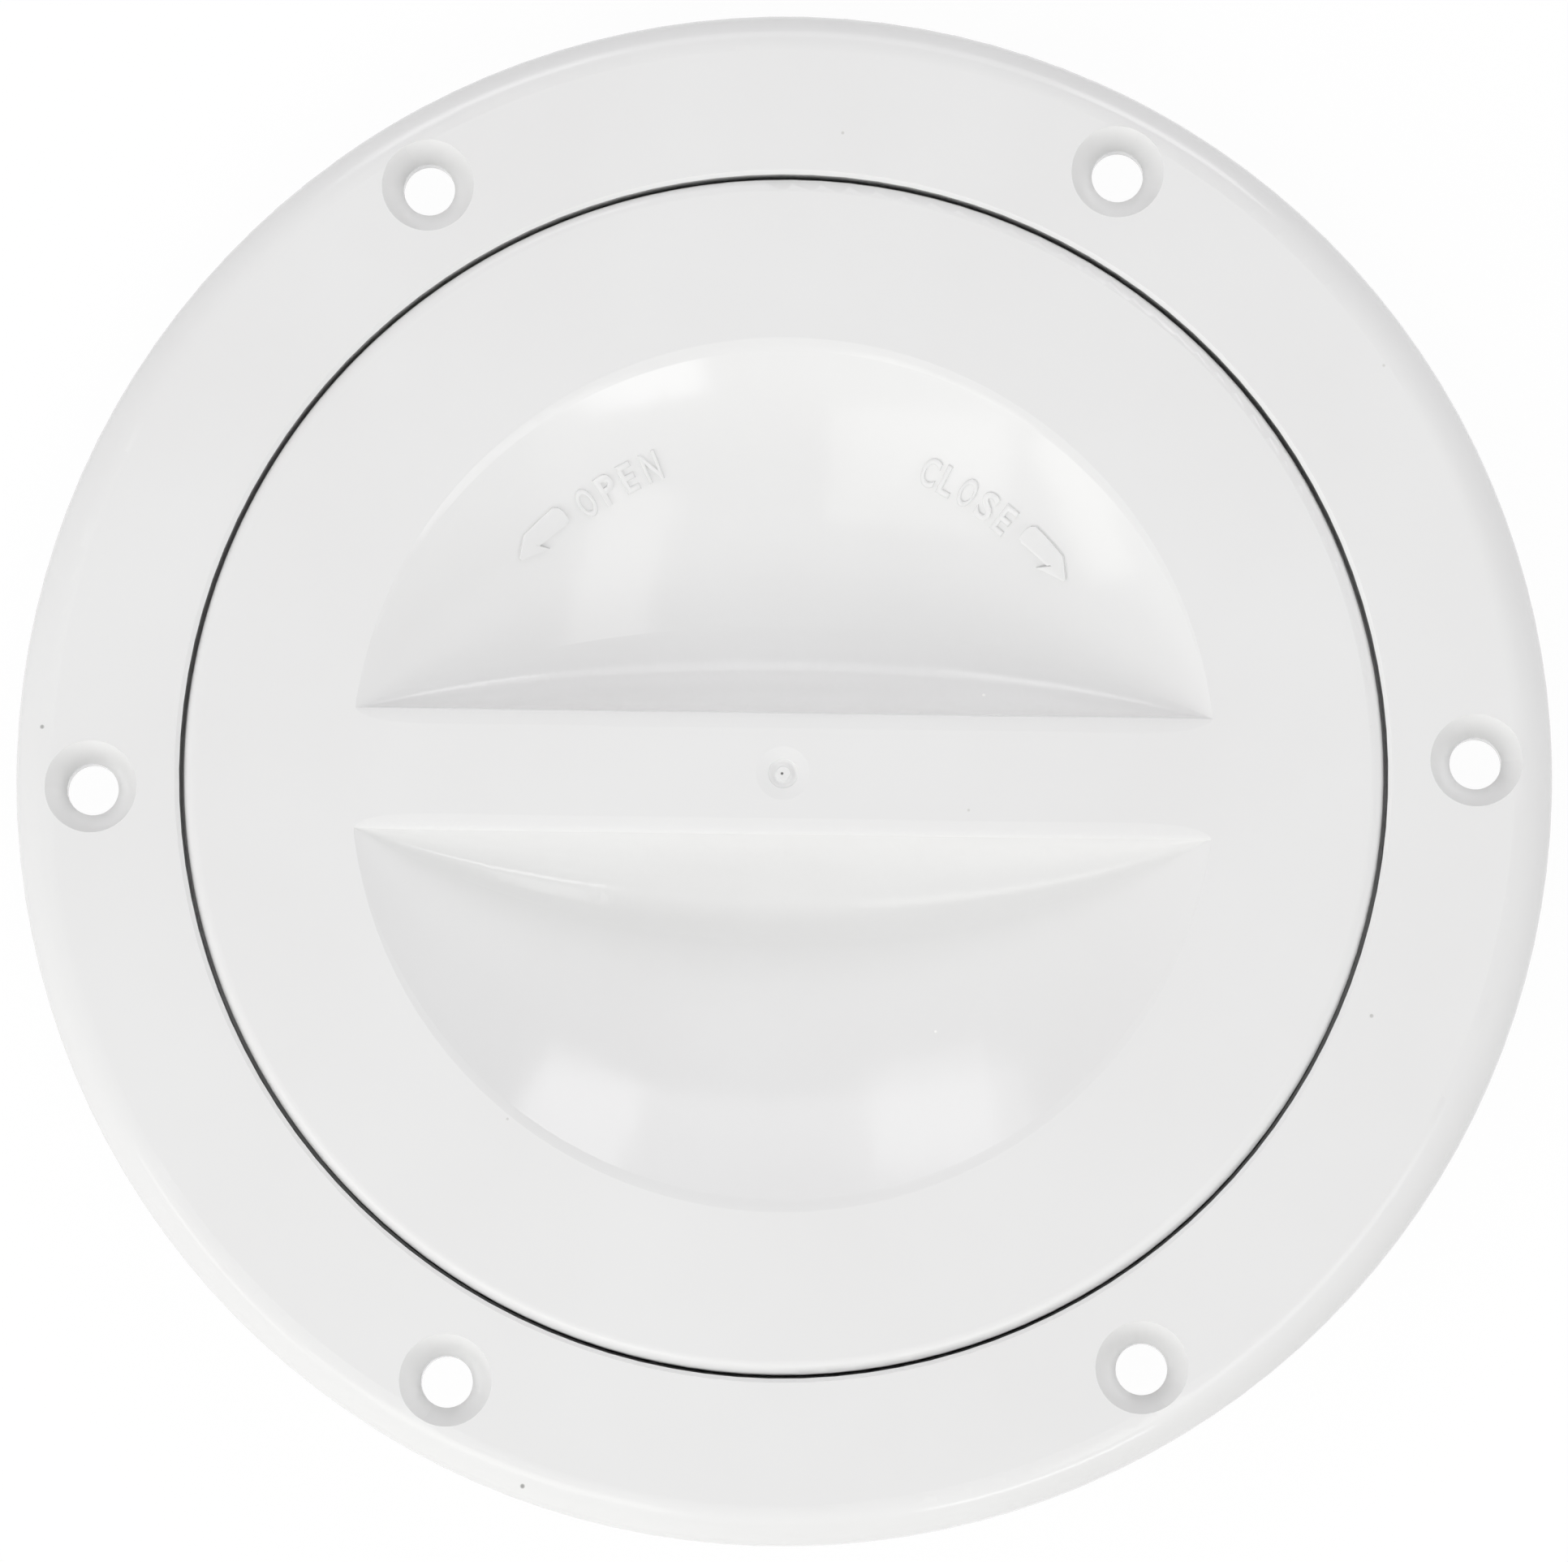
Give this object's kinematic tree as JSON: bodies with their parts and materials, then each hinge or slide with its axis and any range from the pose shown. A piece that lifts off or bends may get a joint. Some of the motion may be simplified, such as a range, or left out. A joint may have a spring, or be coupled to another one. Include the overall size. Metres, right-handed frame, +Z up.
{
  "type": "deck inspection plate",
  "caption": "Round screw-in deck inspection plate: flanged deck ring with countersunk screw holes, flush threaded lid with two finger recesses either side of a grip bar, and a rubber seal.",
  "frame": {"origin": "on the plate's axis, at the deck's surface, which the underside of the ring's flange rests on", "axes": "+Z up out of the deck along the axis that the lid screws on, +X through an opposite pair of the ring's screw holes, +Y a quarter turn anticlockwise from it seen from above"},
  "size_m": [0.143, 0.143, 0.0245],
  "materials": {
    "white_plastic": "gloss, moulded",
    "seal_rubber": "satin"
  },
  "bodies": {
    "ring": {"deck_ring": "white_plastic"},
    "seal": {"o_ring": "seal_rubber"},
    "lid": {"screw_lid": "white_plastic"}
  },
  "joints": [
    {"name": "lid_rise", "type": "slide", "parent": "ring", "child": "seal", "axis": [0, 0, 1], "range_m": [0, 0.0181]},
    {"name": "lid_turn", "type": "hinge", "parent": "seal", "child": "lid", "pos_m": [0, 0, 0], "axis": [0, 0, 1], "range_deg": [0, 1296]}
  ],
  "couplings": [
    {"joint": "lid_rise", "follows": "lid_turn", "m_per_rad": 0.00079577}
  ]
}
